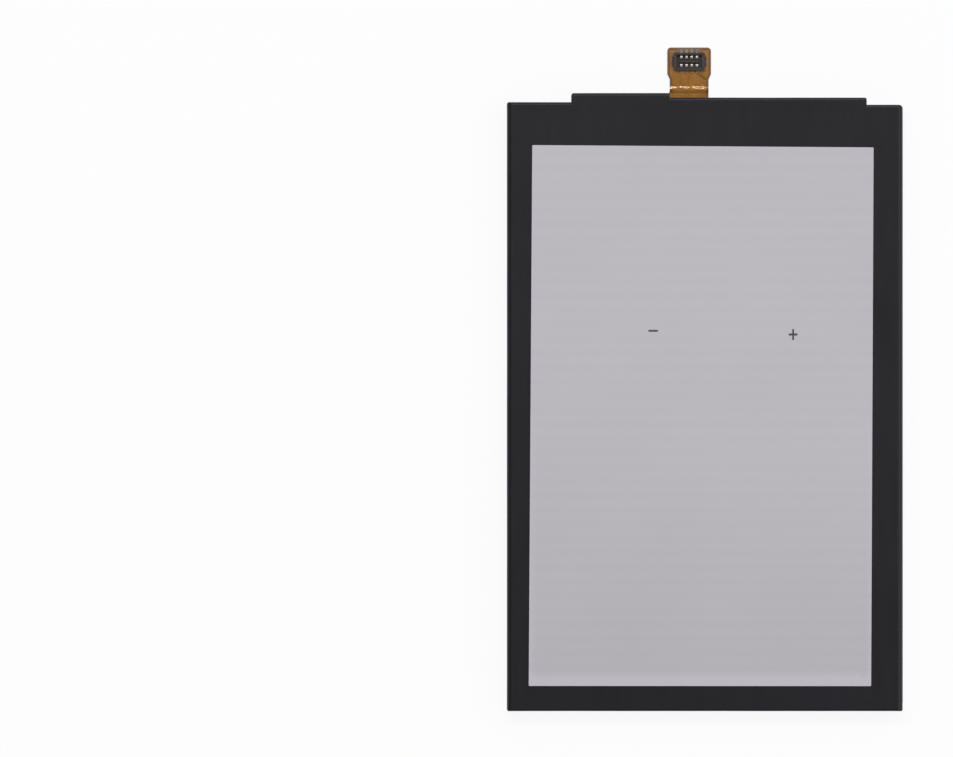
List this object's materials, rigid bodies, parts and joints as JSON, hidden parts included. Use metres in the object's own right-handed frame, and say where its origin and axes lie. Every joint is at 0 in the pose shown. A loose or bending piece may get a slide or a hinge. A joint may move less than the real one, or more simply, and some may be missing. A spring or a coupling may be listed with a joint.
{
  "type": "mobile phone battery",
  "caption": "Flat built-in phone battery: a wrapped pouch cell with a protection board across one end and a short flexible tail with a board connector.",
  "frame": {"origin": "on the back face, midway across the pack and midway between its foot and its left shoulder", "axes": "+Y along the pack towards the connector, +Z out of the front face, +X to the right seen from the front"},
  "size_m": [0.061, 0.1023, 0.0047],
  "materials": {
    "wrap_film": "satin black polyester film",
    "label_film": "matt silver printed film",
    "pouch_laminate": "satin aluminium laminate",
    "electrode_stack": "dark coated foil and separator",
    "polyimide_tape": "clear amber tape",
    "nickel": "bright nickel",
    "tab_aluminium": "rolled",
    "sealing_film": "milky polypropylene film",
    "foam": "fine closed-cell foam",
    "board": "green solder mask",
    "moulded_chip": "black moulding compound",
    "chip_ceramic": "fired ceramic with tinned ends",
    "flex_film": "amber polyimide over copper",
    "stiffener_steel": "fine brushed",
    "connector_plastic": "black liquid crystal polymer",
    "contact_gilt": "gilded"
  },
  "bodies": {
    "root": {"outer_wrap": "wrap_film", "front_label": "label_film", "back_label": "label_film", "pouch": "pouch_laminate", "electrode_roll": "electrode_stack", "winding_tape": "polyimide_tape", "foot_tape": "polyimide_tape", "negative_tab": "nickel", "positive_tab": "tab_aluminium", "negative_tab_seal": "sealing_film", "positive_tab_seal": "sealing_film", "left_seam_tape": "polyimide_tape", "right_seam_tape": "polyimide_tape", "terrace_foam": "foam", "protection_board": "board", "negative_weld_plate": "nickel", "positive_weld_plate": "nickel", "negative_weld_tape": "polyimide_tape", "positive_weld_tape": "polyimide_tape", "protection_chip": "moulded_chip", "left_transistor": "moulded_chip", "right_transistor": "moulded_chip", "fuse": "chip_ceramic", "thermistor": "chip_ceramic", "flex_tail": "flex_film", "head_stiffener": "stiffener_steel", "connector_housing": "connector_plastic", "left_hold_down": "stiffener_steel", "right_hold_down": "stiffener_steel", "capacitor_1": "chip_ceramic", "resistor_1": "chip_ceramic", "capacitor_2": "chip_ceramic", "resistor_2": "chip_ceramic", "capacitor_3": "chip_ceramic", "resistor_3": "chip_ceramic", "capacitor_4": "chip_ceramic", "resistor_4": "chip_ceramic", "contact_1": "contact_gilt", "contact_2": "contact_gilt", "contact_3": "contact_gilt", "contact_4": "contact_gilt", "contact_5": "contact_gilt", "contact_6": "contact_gilt", "contact_7": "contact_gilt", "contact_8": "contact_gilt"}
  },
  "joints": []
}
